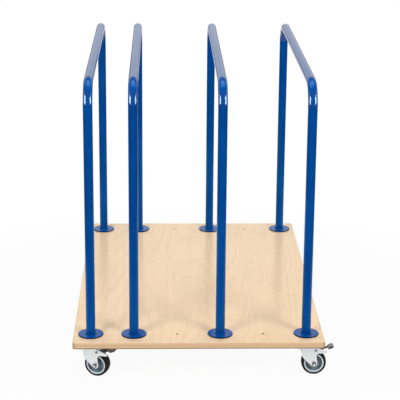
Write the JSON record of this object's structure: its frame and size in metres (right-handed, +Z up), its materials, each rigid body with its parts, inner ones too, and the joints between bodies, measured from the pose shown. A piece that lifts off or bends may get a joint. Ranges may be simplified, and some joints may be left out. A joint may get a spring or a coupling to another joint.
{
  "type": "transport trolley",
  "caption": "Plywood platform trolley on swivel castors with upright bent-tube hoops that hold boards and panels on edge.",
  "frame": {"origin": "on the floor under the middle of the deck", "axes": "+X across the deck to the side with the widest hoop gap, +Y along the hoops away from the braked castors, +Z up"},
  "size_m": [0.8333, 1.2, 0.959],
  "materials": {
    "plywood": "clear sealed birch face",
    "blue_coat": "gloss powder coat",
    "zinc_steel": "bright zinc plate",
    "grey_coat": "dull grey coat",
    "bare_steel": "turned",
    "tyre_rubber": "smooth moulded",
    "core_plastic": "moulded",
    "white_plastic": "moulded",
    "shoe_rubber": "moulded"
  },
  "bodies": {
    "trolley": {"deck_board": "plywood", "hoop_thread_plugs": "bare_steel", "hoop_bolts": "zinc_steel", "castor_plate_screws": "zinc_steel", "hoop_1_tube": "blue_coat", "hoop_1_flanges": "blue_coat", "hoop_2_tube": "blue_coat", "hoop_2_flanges": "blue_coat", "hoop_3_tube": "blue_coat", "hoop_3_flanges": "blue_coat", "hoop_4_tube": "blue_coat", "hoop_4_flanges": "blue_coat", "castor_fl_plate": "zinc_steel", "castor_fl_kingpin": "zinc_steel", "castor_fr_plate": "zinc_steel", "castor_fr_kingpin": "zinc_steel", "castor_rl_plate": "zinc_steel", "castor_rl_kingpin": "zinc_steel", "castor_rr_plate": "zinc_steel", "castor_rr_kingpin": "zinc_steel"},
    "castor_fl_swivel": {"castor_fl_fork": "zinc_steel", "castor_fl_slide_ring": "white_plastic", "castor_fl_axle_sleeve": "bare_steel", "castor_fl_axle_bolt": "zinc_steel", "castor_fl_axle_nut": "zinc_steel", "castor_fl_brake_pin": "bare_steel", "castor_fl_brake_spring": "bare_steel"},
    "castor_fl_wheel": {"castor_fl_tyre": "tyre_rubber", "castor_fl_wheel_core": "core_plastic"},
    "castor_fl_brake": {"castor_fl_brake_pedal": "grey_coat", "castor_fl_brake_shoe": "shoe_rubber"},
    "castor_fr_swivel": {"castor_fr_fork": "zinc_steel", "castor_fr_slide_ring": "white_plastic", "castor_fr_axle_sleeve": "bare_steel", "castor_fr_axle_bolt": "zinc_steel", "castor_fr_axle_nut": "zinc_steel", "castor_fr_brake_pin": "bare_steel", "castor_fr_brake_spring": "bare_steel"},
    "castor_fr_wheel": {"castor_fr_tyre": "tyre_rubber", "castor_fr_wheel_core": "core_plastic"},
    "castor_fr_brake": {"castor_fr_brake_pedal": "grey_coat", "castor_fr_brake_shoe": "shoe_rubber"},
    "castor_rl_swivel": {"castor_rl_fork": "zinc_steel", "castor_rl_slide_ring": "white_plastic", "castor_rl_axle_sleeve": "bare_steel", "castor_rl_axle_bolt": "zinc_steel", "castor_rl_axle_nut": "zinc_steel"},
    "castor_rl_wheel": {"castor_rl_tyre": "tyre_rubber", "castor_rl_wheel_core": "core_plastic"},
    "castor_rr_swivel": {"castor_rr_fork": "zinc_steel", "castor_rr_slide_ring": "white_plastic", "castor_rr_axle_sleeve": "bare_steel", "castor_rr_axle_bolt": "zinc_steel", "castor_rr_axle_nut": "zinc_steel"},
    "castor_rr_wheel": {"castor_rr_tyre": "tyre_rubber", "castor_rr_wheel_core": "core_plastic"}
  },
  "joints": [
    {"name": "castor_fl_swivel_turn", "type": "hinge", "parent": "trolley", "child": "castor_fl_swivel", "pos_m": [-0.346, -0.543, 0.1], "axis": [0, 0, 1], "continuous": true},
    {"name": "castor_fl_wheel_roll", "type": "hinge", "parent": "castor_fl_swivel", "child": "castor_fl_wheel", "pos_m": [-0.32345, -0.55121, 0.04], "axis": [0.342, 0.9397, 0], "continuous": true},
    {"name": "castor_fl_brake_press", "type": "hinge", "parent": "castor_fl_swivel", "child": "castor_fl_brake", "pos_m": [-0.31875, -0.55292, 0.0855], "axis": [0.342, 0.9397, 0], "range_deg": [0, 15]},
    {"name": "castor_fr_swivel_turn", "type": "hinge", "parent": "trolley", "child": "castor_fr_swivel", "pos_m": [0.346, -0.543, 0.1], "axis": [0, 0, 1], "continuous": true},
    {"name": "castor_fr_wheel_roll", "type": "hinge", "parent": "castor_fr_swivel", "child": "castor_fr_wheel", "pos_m": [0.37, -0.543, 0.04], "axis": [0, 1, 0], "continuous": true},
    {"name": "castor_fr_brake_press", "type": "hinge", "parent": "castor_fr_swivel", "child": "castor_fr_brake", "pos_m": [0.375, -0.543, 0.0855], "axis": [0, 1, 0], "range_deg": [0, 15]},
    {"name": "castor_rl_swivel_turn", "type": "hinge", "parent": "trolley", "child": "castor_rl_swivel", "pos_m": [-0.346, 0.543, 0.1], "axis": [0, 0, 1], "continuous": true},
    {"name": "castor_rl_wheel_roll", "type": "hinge", "parent": "castor_rl_swivel", "child": "castor_rl_wheel", "pos_m": [-0.32252, 0.54799, 0.04], "axis": [-0.2079, 0.9781, 0], "continuous": true},
    {"name": "castor_rr_swivel_turn", "type": "hinge", "parent": "trolley", "child": "castor_rr_swivel", "pos_m": [0.346, 0.543, 0.1], "axis": [0, 0, 1], "continuous": true},
    {"name": "castor_rr_wheel_roll", "type": "hinge", "parent": "castor_rr_swivel", "child": "castor_rr_wheel", "pos_m": [0.36977, 0.53966, 0.04], "axis": [0.1392, 0.9903, 0], "continuous": true}
  ]
}
